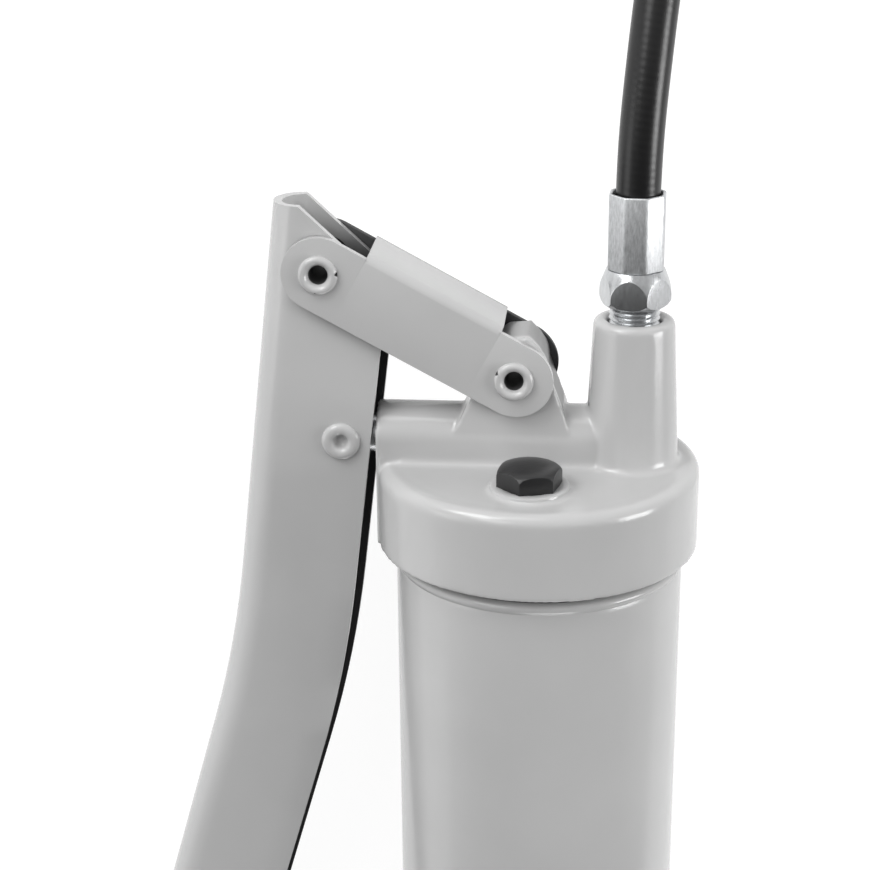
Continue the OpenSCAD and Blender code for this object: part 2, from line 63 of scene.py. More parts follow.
# Hose: black rubber whip hose with a cloth-wrapped cover, crimped into a sleeve at each end. It leaves the
# head upwards, sinks to the floor beyond the picture's edge and turns once before its coupler.
hose_d = 0.0084
hose_route = [
    (0.04473, 0.16065, 0.03630), (0.04523, 0.17665, 0.03614), (0.04713, 0.19265, 0.03437),
    (0.05003, 0.20865, 0.03084), (0.05393, 0.22465, 0.02474), (0.05853, 0.24065, 0.01704),
    (0.06333, 0.25665, 0.00998), (0.06713, 0.27265, 0.00580), (0.06873, 0.28865, 0.00420),
    (0.06623, 0.30435, 0.00420), (0.05883, 0.31855, 0.00420), (0.04743, 0.32965, 0.00420),
    (0.03303, 0.33655, 0.00420), (0.01723, 0.33865, 0.00420), (0.00163, 0.33565, 0.00430),
    (-0.01227, 0.32785, 0.00470), (-0.02307, 0.31615, 0.00552), (-0.02957, 0.30155, 0.00667),
    (-0.03367, 0.28615, 0.00740), (-0.03787, 0.27065, 0.00750)]


def smooth_route(points, steps):
    """Points of one smooth curve through the route."""
    line = []
    for i in range(len(points) - 1):
        a, b = Vector(points[max(i - 1, 0)]), Vector(points[i])
        c, d = Vector(points[i + 1]), Vector(points[min(i + 2, len(points) - 1)])
        for k in range(steps):
            t = k / steps
            line.append(0.5 * (2 * b + (c - a) * t + (2 * a - 5 * b + 4 * c - d) * t * t
                               + (3 * b - a - 3 * c + d) * t * t * t))
    return line + [Vector(points[-1])]


hose_line = smooth_route(hose_route, 14)
hose_sides = 28
hose_points, hose_faces, hose_uvs, run = [], [], [], [0.0]
for i, p in enumerate(hose_line):
    ahead = (hose_line[min(i + 1, len(hose_line) - 1)] - hose_line[max(i - 1, 0)]).normalized()
    across = Vector((0, 0, 1)).cross(ahead).normalized()
    over = ahead.cross(across)
    if i:
        run.append(run[-1] + (p - hose_line[i - 1]).length)
    for k in range(hose_sides):
        turn = 2 * math.pi * k / hose_sides
        hose_points.append(p + hose_d / 2 * (math.cos(turn) * across + math.sin(turn) * over))
for i in range(len(hose_line) - 1):
    for k in range(hose_sides):
        a, b = i * hose_sides + k, i * hose_sides + (k + 1) % hose_sides
        hose_faces.append((a, b, b + hose_sides, a + hose_sides))
        left, right = k / hose_sides, (k + 1) / hose_sides
        hose_uvs += [(left, run[i]), (right, run[i]), (right, run[i + 1]), (left, run[i + 1])]
last = (len(hose_line) - 1) * hose_sides
hose_faces += [tuple(reversed(range(hose_sides))), tuple(range(last, last + hose_sides))]
hose_uvs += [(0.5, 0.0)] * (2 * hose_sides)
hose = bpy.data.objects.new("hose_cover", bpy.data.meshes.new("hose_cover"))
hose.data.from_pydata([tuple(p) for p in hose_points], [], hose_faces)
hose.data.uv_layers.new(name="along")
for corner, uv in zip(hose.data.uv_layers["along"].data, hose_uvs):
    corner.uv = uv
hose.data.shade_smooth()
bpy.context.scene.collection.objects.link(hose)


def new_finish(name, colour, roughness, metallic=0.0):
    """A material with its shader, ready for the nodes that vary over the surface."""
    finish = bpy.data.materials.new(name)
    finish.use_nodes = True
    shader = finish.node_tree.nodes["Principled BSDF"]
    shader.inputs["Base Color"].default_value = (*colour, 1)
    shader.inputs["Roughness"].default_value = roughness
    shader.inputs["Metallic"].default_value = metallic
    return finish, shader, finish.node_tree.nodes, finish.node_tree.links


wrap, shader, nodes, links = new_finish("hose_rubber", (0.007, 0.007, 0.0073), 0.3)
shader.inputs["Specular IOR Level"].default_value = 0.42
along = nodes.new("ShaderNodeUVMap")
along.uv_map = "along"
parts = nodes.new("ShaderNodeSeparateXYZ")
lead = nodes.new("ShaderNodeMath")
lead.operation = "MULTIPLY_ADD"
lead.inputs[1].default_value = 0.0027
cloth = nodes.new("ShaderNodeCombineXYZ")
ribs = nodes.new("ShaderNodeTexWave")
ribs.bands_direction = "Y"
ribs.inputs["Scale"].default_value = 232
ribs.inputs["Distortion"].default_value = 0.6
mottle = nodes.new("ShaderNodeTexNoise")
mottle.inputs["Scale"].default_value = 900
mottle.inputs["Detail"].default_value = 3
height = nodes.new("ShaderNodeMath")
height.operation = "ADD"
bump = nodes.new("ShaderNodeBump")
bump.inputs["Strength"].default_value = 0.06
bump.inputs["Distance"].default_value = 0.0002
dull = nodes.new("ShaderNodeMapRange")
dull.inputs["To Min"].default_value = 0.24
dull.inputs["To Max"].default_value = 0.38
links.new(along.outputs["UV"], parts.inputs[0])
links.new(parts.outputs["X"], lead.inputs[0])
links.new(parts.outputs["Y"], lead.inputs[2])
links.new(lead.outputs[0], cloth.inputs["Y"])
links.new(cloth.outputs[0], ribs.inputs["Vector"])
where = nodes.new("ShaderNodeTexCoord")
links.new(where.outputs["Object"], mottle.inputs["Vector"])
links.new(ribs.outputs["Fac"], height.inputs[0])
links.new(mottle.outputs["Fac"], height.inputs[1])
links.new(height.outputs[0], bump.inputs["Height"])
links.new(bump.outputs[0], shader.inputs["Normal"])
links.new(mottle.outputs["Fac"], dull.inputs["Value"])
links.new(dull.outputs[0], shader.inputs["Roughness"])
hose.data.materials.append(wrap)
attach(hose, "head")
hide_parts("hose")

# Enamel: grey semi-gloss paint, sprayed over castings and pressings alike. The film is not quite even in
# tone and has a faint orange-peel skin, which a shared node group gives.
film = bpy.data.node_groups.new("paint_film", "ShaderNodeTree")
for name, kind in (("Place", "NodeSocketVector"), ("Colour", "NodeSocketColor"),
                   ("Spread", "NodeSocketFloat"), ("Gloss", "NodeSocketFloat"), ("Peel", "NodeSocketFloat")):
    film.interface.new_socket(name, in_out="INPUT", socket_type=kind)
for name, kind in (("Colour", "NodeSocketColor"), ("Roughness", "NodeSocketFloat"),
                   ("Height", "NodeSocketFloat")):
    film.interface.new_socket(name, in_out="OUTPUT", socket_type=kind)
given = film.nodes.new("NodeGroupInput")
result = film.nodes.new("NodeGroupOutput")
broad = film.nodes.new("ShaderNodeTexNoise")
broad.inputs["Scale"].default_value = 45
broad.inputs["Detail"].default_value = 4
peel = film.nodes.new("ShaderNodeTexNoise")
peel.inputs["Detail"].default_value = 2
level = film.nodes.new("ShaderNodeMath")
level.operation = "MULTIPLY_ADD"
level.inputs[2].default_value = 1.0
centred = film.nodes.new("ShaderNodeMath")
centred.operation = "SUBTRACT"
centred.inputs[1].default_value = 0.5
toned = film.nodes.new("ShaderNodeVectorMath")
toned.operation = "SCALE"
sheen = film.nodes.new("ShaderNodeMath")
sheen.operation = "MULTIPLY_ADD"
sheen.inputs[1].default_value = 0.12
film.links.new(given.outputs["Place"], broad.inputs["Vector"])
film.links.new(given.outputs["Place"], peel.inputs["Vector"])
film.links.new(given.outputs["Peel"], peel.inputs["Scale"])
film.links.new(broad.outputs["Fac"], centred.inputs[0])
film.links.new(centred.outputs[0], level.inputs[0])
film.links.new(given.outputs["Spread"], level.inputs[1])
film.links.new(given.outputs["Colour"], toned.inputs[0])
film.links.new(level.outputs[0], toned.inputs["Scale"])
film.links.new(centred.outputs[0], sheen.inputs[0])
film.links.new(given.outputs["Gloss"], sheen.inputs[2])
film.links.new(toned.outputs[0], result.inputs["Colour"])
film.links.new(sheen.outputs[0], result.inputs["Roughness"])
film.links.new(peel.outputs["Fac"], result.inputs["Height"])


def painted(name, colour, gloss, spread=0.12, peel=650, relief=0.00006, strength=0.25):
    """A painted or moulded finish whose tone, gloss and skin come from the paint film."""
    finish, shader, nodes, links = new_finish(name, colour, gloss)
    where = nodes.new("ShaderNodeTexCoord")
    skin = nodes.new("ShaderNodeGroup")
    skin.node_tree = film
    skin.inputs["Colour"].default_value = (*colour, 1)
    skin.inputs["Spread"].default_value = spread
    skin.inputs["Gloss"].default_value = gloss
    skin.inputs["Peel"].default_value = peel
    bump = nodes.new("ShaderNodeBump")
    bump.inputs["Strength"].default_value = strength
    bump.inputs["Distance"].default_value = relief
    links.new(where.outputs["Object"], skin.inputs["Place"])
    links.new(skin.outputs["Colour"], shader.inputs["Base Color"])
    links.new(skin.outputs["Roughness"], shader.inputs["Roughness"])
    links.new(skin.outputs["Height"], bump.inputs["Height"])
    links.new(bump.outputs[0], shader.inputs["Normal"])
    return finish


grey = (0.46, 0.46, 0.46)
enamel = painted("grey_enamel", grey, 0.2)

# Head: one die casting of cap, plunger rib, pivot lug and outlet boss. Its corners are softened as cast
# metal under paint is, from a copy of the solid that is skinned anew and smoothed.
casting = bpy.data.objects.new("cast_head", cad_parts["head_casting"].data.copy())
bpy.context.scene.collection.objects.link(casting)


def only(obj):
    """Selects this object alone and makes it active."""
    bpy.ops.object.select_all(action="DESELECT")
    obj.select_set(True)
    bpy.context.view_layer.objects.active = obj


def add_modifier(obj, kind, **values):
    """Adds a modifier with these values and applies it."""
    only(obj)
    step = obj.modifiers.new(kind.lower(), kind)
    for name, value in values.items():
        setattr(step, name, value)
    bpy.ops.object.modifier_apply(modifier=step.name)


def turned(name, profile, sides=96):
    """A ring pulled through (radius, height) after (radius, height), as on a lathe."""
    bpy.ops.object.select_all(action="DESELECT")
    r, z = profile[0]
    bpy.ops.mesh.primitive_circle_add(vertices=sides, radius=r, location=(0, 0, z))
    obj = bpy.context.object
    obj.name = obj.data.name = name
    bpy.ops.object.transform_apply(location=True)
    bpy.ops.object.mode_set(mode="EDIT")
    bpy.ops.mesh.select_mode(type="VERT")
    bpy.ops.mesh.select_all(action="SELECT")
    for r_next, z_next in profile[1:]:
        bpy.ops.mesh.extrude_region_move(TRANSFORM_OT_translate={"value": (0, 0, z_next - z)})
        bpy.ops.transform.resize(value=(r_next / r, r_next / r, 1), center_override=(0, 0, z_next))
        r, z = r_next, z_next
    bpy.ops.mesh.select_all(action="SELECT")
    bpy.ops.mesh.remove_doubles(threshold=0.003)
    bpy.ops.mesh.normals_make_consistent(inside=False)
    bpy.ops.object.mode_set(mode="OBJECT")
    return obj


def settle(obj, place=laid, angle=35):
    """Puts a piece that was modelled upright where it lies, with its place in its mesh."""
    only(obj)
    obj.matrix_world = place @ obj.matrix_world
    bpy.ops.object.transform_apply(location=True, rotation=True, scale=True)
    bpy.ops.object.shade_smooth_by_angle(angle=math.radians(angle))


def join(first, *others):
    """Joins pieces to one object."""
    only(first)
    for other in others:
        other.select_set(True)
    bpy.ops.object.join()
    return first


only(casting)
bpy.ops.object.mode_set(mode="EDIT")
bpy.ops.mesh.select_all(action="SELECT")
bpy.ops.mesh.remove_doubles(threshold=0.000001)
bpy.ops.object.mode_set(mode="OBJECT")
head_r, head_edge = 31.05, 2.3
round_sides = 160
shoulder_r, sunk = 22, 0.02
bow = [math.radians(15 * k) for k in range(7)]
shoulder = turned("shoulder", [(shoulder_r, -3.5), (shoulder_r, -sunk)] + [
    (head_r - head_edge * (1 - math.sin(a)), -head_edge * (1 - math.cos(a)) - sunk) for a in bow] + [
    (head_r, -6), (29.2, -6), (shoulder_r, -3.5)], round_sides)
settle(shoulder)
join(casting, shoulder)
add_modifier(casting, "REMESH", mode="VOXEL", voxel_size=0.0004)
add_modifier(casting, "SMOOTH", factor=0.5, iterations=6)
add_modifier(casting, "DECIMATE", ratio=0.6)
upright = laid.inverted()
left_wider, left_from, left_below = 0.7, -12, 3
for v in casting.data.vertices:
    p = upright @ v.co
    if p.x < left_from and p.z < left_below and math.hypot(p.x, p.y) < 31.3:
        share = min(1, (left_from - p.x) / 12) * min(1, (left_below - p.z) / 6)
        v.co = laid @ (p - Vector((left_wider * share, 0, 0)))
plug_x, plug_y, collar_h = -1.2, -17.6, 1.0
collar = turned("collar", [
    (5.6, 0.1), (5.6, collar_h), (5.75, 1.1), (7.15, 1.1), (7.4, 1.0), (7.5, 0.8), (7.55, 0.1)])
collar.matrix_world = Matrix.Translation((plug_x, plug_y, 0))
settle(collar)
join(casting, collar)
casting.data.shade_smooth()


def coat(obj, *finishes):
    """Lays finishes on a piece; a second one is for its inside."""
    for finish in finishes:
        obj.data.materials.append(finish)


def dress(obj, body, slot, stands_for, *finishes):
    """Gives a piece its finishes, its body and the solid that it stands for."""
    coat(obj, *finishes)
    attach(obj, body)
    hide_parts(stands_for)


casting.data.materials.clear()
# The lug's flank behind the link and next to the outlet boss is painted darker as shade: the enamel darkens
# there along two directions, away from the viewer and towards the outlet.
lug_shaded = painted("lug_shade_enamel", grey, 0.3)
nodes, links = lug_shaded.node_tree.nodes, lug_shaded.node_tree.links
masks = []
for direction, offset, start, stop in (
        ((math.sin(roll), 0, -math.cos(roll)), 0.021402, -0.0052, -0.0032),
        ((math.cos(roll), 0, math.sin(roll)), -0.035779, -0.004, 0.003)):
    along = nodes.new("ShaderNodeVectorMath")
    along.operation = "DOT_PRODUCT"
    along.inputs[1].default_value = direction
    ramp = nodes.new("ShaderNodeMapRange")
    ramp.interpolation_type = "SMOOTHSTEP"
    ramp.inputs["From Min"].default_value = start - offset
    ramp.inputs["From Max"].default_value = stop - offset
    links.new(nodes["Texture Coordinate"].outputs["Object"], along.inputs[0])
    links.new(along.outputs["Value"], ramp.inputs["Value"])
    masks.append(ramp)
masks[1].inputs["To Min"].default_value = 0.4
shade_share = nodes.new("ShaderNodeMath")
shade_share.operation = "MULTIPLY"
links.new(masks[0].outputs[0], shade_share.inputs[0])
links.new(masks[1].outputs[0], shade_share.inputs[1])
tone = nodes.new("ShaderNodeMix")
tone.data_type = "RGBA"
tone.inputs["A"].default_value = (*grey, 1)
tone.inputs["B"].default_value = (0.04, 0.04, 0.04, 1)
links.new(shade_share.outputs[0], tone.inputs["Factor"])
links.new(tone.outputs["Result"], nodes["Group"].inputs["Colour"])
coat(casting, enamel, lug_shaded)
# Faces on the lug's top and flank take the enamel with painted shade.
lug_low, lug_front, lug_left, lug_right = 11.2, -5.2, -11, 9.5
for f in casting.data.polygons:
    p = upright @ f.center
    f.material_index = int(p.z > lug_low and p.y > lug_front and lug_left < p.x < lug_right)
dress(casting, "head", "paint", "head_casting")

# Barrel: thin steel tube with a rolled thread at the top, whose last turn shows below the cap. It is
# screwed into the head and painted with it.
barrel_r, barrel_in = 28.25, 27.05
tube_top, cap_low, tube_end = -6.2, -17, -263
tube = turned("tube", [
    (barrel_in, tube_top), (27.8, tube_top), (27.8, -15.5), (27.3, cap_low + 0.7), (27.15, cap_low - 1.3),
    (27.4, cap_low - 1.75), (28.2, cap_low - 2.0), (28.65, cap_low - 2.45), (28.75, cap_low - 2.9),
    (28.6, cap_low - 3.4), (28.22, cap_low - 3.75), (28.1, cap_low - 4.0), (28.18, cap_low - 4.4),
    (barrel_r, cap_low - 5), (barrel_r, -80), (barrel_r, -150), (barrel_r, tube_end),
    (barrel_in, tube_end), (barrel_in, -150), (barrel_in, -80), (barrel_in, tube_top)], round_sides)
# A near-black finish painted where shade falls: under the cap's edge, inside the link, in the rivets' bores
# and splits.
shade_black = painted("painted_shade_black", (0.055, 0.055, 0.056), 0.7, 0.3, 900, 0.00008)
shade_black.node_tree.nodes["Principled BSDF"].inputs["Specular IOR Level"].default_value = 0.3
# Painted shade: the tube's neck just under the cap's edge is near black, as the gap under the cap is in
# shade.
for f in tube.data.polygons:
    f.material_index = int(cap_low - 1.85 < f.center.z < -10)
coat(tube, enamel, shade_black)
settle(tube)
dress(tube, "head", "paint", "barrel_tube")

# Gasket: flat rubber ring between the tube's end and the cap's roof. The follower's cup, the packing of the
# plunger and the coupler's seal are moulded of the same rubber.
black_rubber = painted("black_rubber", (0.015, 0.015, 0.016), 0.55, 0.3, 1400, 0.0001, 0.3)
for name in ("barrel_gasket", "follower_cup", "plunger_seal", "coupler_seal"):
    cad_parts[name].material_slots[0].material = black_rubber

# End cap: pressed steel cap with rounded edges and a hole for the rod. It is screwed on the tube's lower
# end and painted with it.
rod_hole = 3.1
end_in = 28.4
end_cap = turned("tube_end_cap", [
    (rod_hole, -265.6), (3.6, -266), (28.6, -266), (29.5, -265.85), (30.3, -265.3), (30.85, -264.5),
    (head_r, -263.6), (head_r, -251.2), (30.8, -250.4), (30.2, -250), (end_in, -250), (end_in, tube_end),
    (rod_hole, tube_end), (rod_hole, -265.6)], 128)
settle(end_cap)
dress(end_cap, "head", "paint", "end_cap", enamel)

# Bare steel: drawn rod with its cross handle, the follower's plates and spring, and the check valve. The
# grain of drawn and turned metal runs through a shared node group.
grain = bpy.data.node_groups.new("metal_grain", "ShaderNodeTree")
for name, kind in (("Place", "NodeSocketVector"), ("Colour", "NodeSocketColor"),
                   ("Spread", "NodeSocketFloat"), ("Gloss", "NodeSocketFloat"), ("Fine", "NodeSocketFloat")):
    grain.interface.new_socket(name, in_out="INPUT", socket_type=kind)
for name, kind in (("Colour", "NodeSocketColor"), ("Roughness", "NodeSocketFloat"),
                   ("Height", "NodeSocketFloat")):
    grain.interface.new_socket(name, in_out="OUTPUT", socket_type=kind)
given = grain.nodes.new("NodeGroupInput")
result = grain.nodes.new("NodeGroupOutput")
specks = grain.nodes.new("ShaderNodeTexNoise")
specks.inputs["Detail"].default_value = 5
specks.inputs["Roughness"].default_value = 0.65
clouds = grain.nodes.new("ShaderNodeTexNoise")
clouds.inputs["Scale"].default_value = 160
clouds.inputs["Detail"].default_value = 3
centred = grain.nodes.new("ShaderNodeMath")
centred.operation = "SUBTRACT"
centred.inputs[1].default_value = 0.5
level = grain.nodes.new("ShaderNodeMath")
level.operation = "MULTIPLY_ADD"
level.inputs[2].default_value = 1.0
toned = grain.nodes.new("ShaderNodeVectorMath")
toned.operation = "SCALE"
sheen = grain.nodes.new("ShaderNodeMath")
sheen.operation = "MULTIPLY_ADD"
sheen.inputs[1].default_value = 0.22
grain.links.new(given.outputs["Place"], specks.inputs["Vector"])
grain.links.new(given.outputs["Fine"], specks.inputs["Scale"])
grain.links.new(given.outputs["Place"], clouds.inputs["Vector"])
grain.links.new(specks.outputs["Fac"], centred.inputs[0])
grain.links.new(centred.outputs[0], level.inputs[0])
grain.links.new(given.outputs["Spread"], level.inputs[1])
grain.links.new(given.outputs["Colour"], toned.inputs[0])
grain.links.new(level.outputs[0], toned.inputs["Scale"])
grain.links.new(clouds.outputs["Fac"], sheen.inputs[0])
grain.links.new(given.outputs["Gloss"], sheen.inputs[2])
grain.links.new(toned.outputs[0], result.inputs["Colour"])
grain.links.new(sheen.outputs[0], result.inputs["Roughness"])
grain.links.new(specks.outputs["Fac"], result.inputs["Height"])


def bare_metal(name, colour, gloss, spread, fine, relief, squeeze=(1, 1, 1)):
    """A metal finish whose specks, gloss and relief come from the grain, drawn out along an axis."""
    finish, shader, nodes, links = new_finish(name, colour, gloss, 1.0)
    where = nodes.new("ShaderNodeTexCoord")
    drawn = nodes.new("ShaderNodeMapping")
    drawn.inputs["Scale"].default_value = squeeze
    skin = nodes.new("ShaderNodeGroup")
    skin.node_tree = grain
    skin.inputs["Colour"].default_value = (*colour, 1)
    skin.inputs["Spread"].default_value = spread
    skin.inputs["Gloss"].default_value = gloss
    skin.inputs["Fine"].default_value = fine
    bump = nodes.new("ShaderNodeBump")
    bump.inputs["Strength"].default_value = 0.3
    bump.inputs["Distance"].default_value = relief
    links.new(where.outputs["Object"], drawn.inputs["Vector"])
    links.new(drawn.outputs[0], skin.inputs["Place"])
    links.new(skin.outputs["Colour"], shader.inputs["Base Color"])
    links.new(skin.outputs["Roughness"], shader.inputs["Roughness"])
    links.new(skin.outputs["Height"], bump.inputs["Height"])
    links.new(bump.outputs[0], shader.inputs["Normal"])
    return finish


drawn_steel = bare_metal("drawn_steel", (0.56, 0.57, 0.59), 0.2, 0.25, 900, 0.00004, (1, 0.12, 1))
for name in ("follower_rod", "rod_handle", "follower_plate_upper", "follower_plate_lower",
             "follower_spring", "check_ball", "check_spring", "coupler_jaws"):
    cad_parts[name].material_slots[0].material = drawn_steel

# Zinc: bright plated turned parts, slightly speckled. The plunger, the follower's nut and the coupler
# have it as they come from the lathe.
zinc = bare_metal("bright_zinc", (0.55, 0.56, 0.57), 0.14, 0.45, 1500, 0.00008, (1, 0.35, 1))
for name in ("plunger", "follower_nut", "coupler_body", "coupler_sleeve"):
    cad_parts[name].material_slots[0].material = zinc

# Lever: pressed from one strip into a channel with a full-round back, flared out below the head and
# straight again in the grip. Its inside is painted near black as shade, fading to grey at the slant-cut top.
lever_t = 1.6
lever_r, lever_deep = 6, 24
lever_half = lever_r - lever_t / 2
straight = (30, 30, 20)
lean = math.radians(7)
bend_1, bend_2 = math.radians(9.3), math.radians(16.3)
bend_1_r, bend_2_r = 230, 160
flare = 60
grip = (32, 32, 12)
grip_r, grip_left = 12, -90.4986
lever_pin = Vector((-38.25, 0, 4.4))
link_pin = Vector((-41.417, 0, 38.185))
bpy.ops.object.select_all(action="DESELECT")
bpy.ops.mesh.primitive_circle_add(vertices=48, radius=lever_half, location=(lever_r, 0, sum(straight)))
lever = bpy.context.object
lever.name = lever.data.name = "lever_channel"
bpy.ops.object.transform_apply(location=True)


def pick(obj, test, kind="VERT"):
    """Selects in edit mode what passes the test on its place."""
    bpy.ops.object.mode_set(mode="EDIT")
    bpy.ops.mesh.select_mode(type=kind)
    bpy.ops.mesh.select_all(action="DESELECT")
    bpy.ops.object.mode_set(mode="OBJECT")
    if kind == "VERT":
        for v in obj.data.vertices:
            v.select = test(v.co)
    elif kind == "EDGE":
        for e in obj.data.edges:
            e.select = all(test(obj.data.vertices[i].co) for i in e.vertices)
    else:
        for f in obj.data.polygons:
            f.select = test(f.center)
    bpy.ops.object.mode_set(mode="EDIT")


def pull(*steps):
    """Extrudes the selection by one step after the other."""
    for step in steps:
        bpy.ops.mesh.extrude_region_move(TRANSFORM_OT_translate={"value": tuple(step)})


pick(lever, lambda p: p.x > lever_r + 0.01)
bpy.ops.mesh.delete(type="VERT")
pick(lever, lambda p: p.x > lever_r - 0.01)
pull(*[((lever_deep - lever_r) / 3, 0, 0)] * 3)
near_short, rear_long = 0.4, 0.8
pick(lever, lambda p: p.x > lever_deep - 0.1)
bpy.ops.transform.translate(value=(-near_short, 0, 0))
pick(lever, lambda p: p.x > lever_deep - 1 and p.y > 0)
bpy.ops.transform.translate(value=(rear_long, 0, 0))
bpy.ops.mesh.select_all(action="SELECT")
pull(*[(0, 0, -length) for length in straight])
bpy.ops.mesh.spin(steps=8, angle=bend_1, center=(-bend_1_r, 0, 0), axis=(0, -1, 0))
way = Vector((-math.sin(bend_1), 0, -math.cos(bend_1)))
pull(way * flare / 2, way * flare / 2)
reach = bend_1_r + bend_2_r
centre_2 = Vector((-bend_1_r, 0, 0)) + Vector((
    reach * math.cos(bend_1) - flare * math.sin(bend_1), 0,
    -reach * math.sin(bend_1) - flare * math.cos(bend_1)))
bpy.ops.mesh.spin(steps=10, angle=bend_2, center=centre_2, axis=(0, 1, 0))
way = Vector((math.sin(bend_2 - bend_1), 0, -math.cos(bend_2 - bend_1)))
pull(*[way * length for length in grip])
bpy.ops.object.mode_set(mode="OBJECT")
only(lever)
pin_in_strip = Vector((17.9, 0, 30.2))
lever.matrix_world = (Matrix.Translation(lever_pin) @ Matrix.Rotation(lean, 4, "Y")
                      @ Matrix.Translation(-pin_in_strip))
bpy.ops.object.transform_apply(location=True, rotation=True)


def slice_off(obj, test, point, normal):
    """Cuts the picked faces along a plane and drops what lies on the normal's side."""
    pick(obj, test, "FACE")
    bpy.ops.mesh.bisect(plane_co=tuple(point), plane_no=tuple(normal))
    pick(obj, lambda p: test(p) and (p - Vector(point)).dot(Vector(normal)) > 0, "FACE")
    bpy.ops.mesh.delete(type="FACE")
    bpy.ops.object.mode_set(mode="OBJECT")


top_over_pin, slant_over_pin = 12.5, 6.6
slice_off(lever, lambda p: p.z > 0, link_pin + Vector((0, 0, top_over_pin)), (0, 0, 1))
slant_turn = math.radians(46.7)
slant = Vector((math.cos(slant_turn), 0, math.sin(slant_turn)))
slice_off(lever, lambda p: p.z > 0, link_pin + slant_over_pin * slant, slant)
lever_end = min(v.co.z for v in lever.data.vertices)
grip_mid = Vector((grip_left + grip_r, 0, lever_end + grip_r))
end_cuts = 16
for k in range(1, end_cuts):
    turn = math.pi * (1 + k / end_cuts)
    edge = Vector((math.cos(turn), 0, math.sin(turn)))
    slice_off(lever, lambda p: p.z < lever_end + grip_r + 0.01, grip_mid + grip_r * edge, edge)


def weld(obj):
    """Joins doubled points and turns all faces of a strip to one side."""
    only(obj)
    bpy.ops.object.mode_set(mode="EDIT")
    bpy.ops.mesh.select_all(action="SELECT")
    bpy.ops.mesh.remove_doubles(threshold=0.003)
    bpy.ops.mesh.normals_make_consistent(inside=False)
    bpy.ops.object.mode_set(mode="OBJECT")


weld(lever)
back = min(lever.data.polygons, key=lambda f: f.center.x)
if back.normal.x > 0:
    lever.data.flip_normals()
# Painted shade for the channel's inside: near black low down, fading to the enamel grey towards the top end.
dark = (0.028, 0.028, 0.029)
inside = painted("lever_inside", dark, 0.45, 0.3, 900, 0.00008)
nodes, links = inside.node_tree.nodes, inside.node_tree.links
parts = nodes.new("ShaderNodeSeparateXYZ")
fade = nodes.new("ShaderNodeMapRange")
fade.interpolation_type = "SMOOTHSTEP"
fade.inputs["From Min"].default_value = 0.1485
fade.inputs["From Max"].default_value = 0.1655
inside_shade = nodes.new("ShaderNodeMix")
inside_shade.data_type = "RGBA"
inside_shade.inputs["A"].default_value = (*dark, 1)
inside_shade.inputs["B"].default_value = (*grey, 1)
links.new(nodes["Texture Coordinate"].outputs["Object"], parts.inputs[0])
links.new(parts.outputs["Y"], fade.inputs["Value"])
links.new(fade.outputs[0], inside_shade.inputs["Factor"])
links.new(inside_shade.outputs["Result"], nodes["Group"].inputs["Colour"])
coat(lever, enamel, inside)


def thicken(obj, thickness):
    """Gives a strip its thickness, with the second finish on its inside."""
    add_modifier(obj, "SOLIDIFY", thickness=thickness, offset=0, use_even_offset=True, material_offset=1,
                 material_offset_rim=0)


def soften(obj, width, angle):
    """Rounds the edges that are sharper than the angle."""
    add_modifier(obj, "BEVEL", width=width, segments=3, limit_method="ANGLE",
                 angle_limit=math.radians(angle), harden_normals=False)


thicken(lever, lever_t)
soften(lever, 0.4, 50)


def cut(obj, tool, how="DIFFERENCE"):
    """Cuts one piece with another and takes the other away."""
    bpy.context.view_layer.update()
    add_modifier(obj, "BOOLEAN", object=tool, operation=how, solver="EXACT")
    bpy.data.objects.remove(tool)


def drill(obj, place, r):
    """Bores a round hole across the gun."""
    bpy.ops.object.select_all(action="DESELECT")
    bpy.ops.mesh.primitive_cylinder_add(vertices=48, radius=r, depth=40, location=place,
                                        rotation=(math.radians(90), 0, 0))
    cut(obj, bpy.context.object)


rivet_r, play = 2.5, 1.9
drill(lever, lever_pin, rivet_r)
drill(lever, link_pin, rivet_r + play)
settle(lever)
dress(lever, "lever", "paint", "lever")

# Rivet of the plunger: solid steel rivet through lever and plunger eye, upset at both ends to a round rim
# with a dimple and painted with the lever.
bulge = [(0.001, -0.5), (0.75, -0.45), (1.1, -0.2), (1.3, 0.25), (1.5, 0.7), (1.75, 1.0), (2.15, 1.18),
         (2.7, 1.2), (3.2, 1.08), (3.5, 0.82), (3.71, 0.48), (3.75, 0.25), (3.7, 0.0), (2.5, 0.0)]
head_rim = [(r, lever_r + z) for r, z in bulge]
plunger_rivet = turned("plunger_rivet", head_rim + [(r, -z) for r, z in reversed(head_rim)], 56)
plunger_rivet.matrix_world = Matrix.Translation(lever_pin) @ Matrix.Rotation(math.radians(90), 4, "X")
settle(plunger_rivet, laid, 60)
dress(plunger_rivet, "lever", "paint", "lever_plunger_rivet", enamel)

# Link: short channel pressed over lever and lug, its web on top cut back at both ends, its side plates
# round at the pivots. It swings on the lug and carries the lever.
link_t = 1.5
link_r = 7.1
link_len = 41.9
link_lean = math.radians(28.8)
side_y = -7.05
web_from, web_to = 6.5, 35.2
bend = 1.25
front_longer, rear_longer = 0.4, 1.1
web_z = link_r + 1 - link_t / 2
bpy.ops.object.select_all(action="DESELECT")
bpy.ops.mesh.primitive_circle_add(vertices=72, radius=link_r, fill_type="NGON", location=(0, side_y, 0),
                                  rotation=(math.radians(90), 0, 0))
link = bpy.context.object
link.name = link.data.name = "link_channel"
bpy.ops.object.transform_apply(location=True, rotation=True)
pick(link, lambda p: p.x > 0.01)
bpy.ops.transform.translate(value=(link_len, 0, 0))
for x in (web_from, web_to):
    bpy.ops.mesh.select_all(action="SELECT")
    bpy.ops.mesh.bisect(plane_co=(x, 0, 0), plane_no=(1, 0, 0))
bpy.ops.object.mode_set(mode="OBJECT")
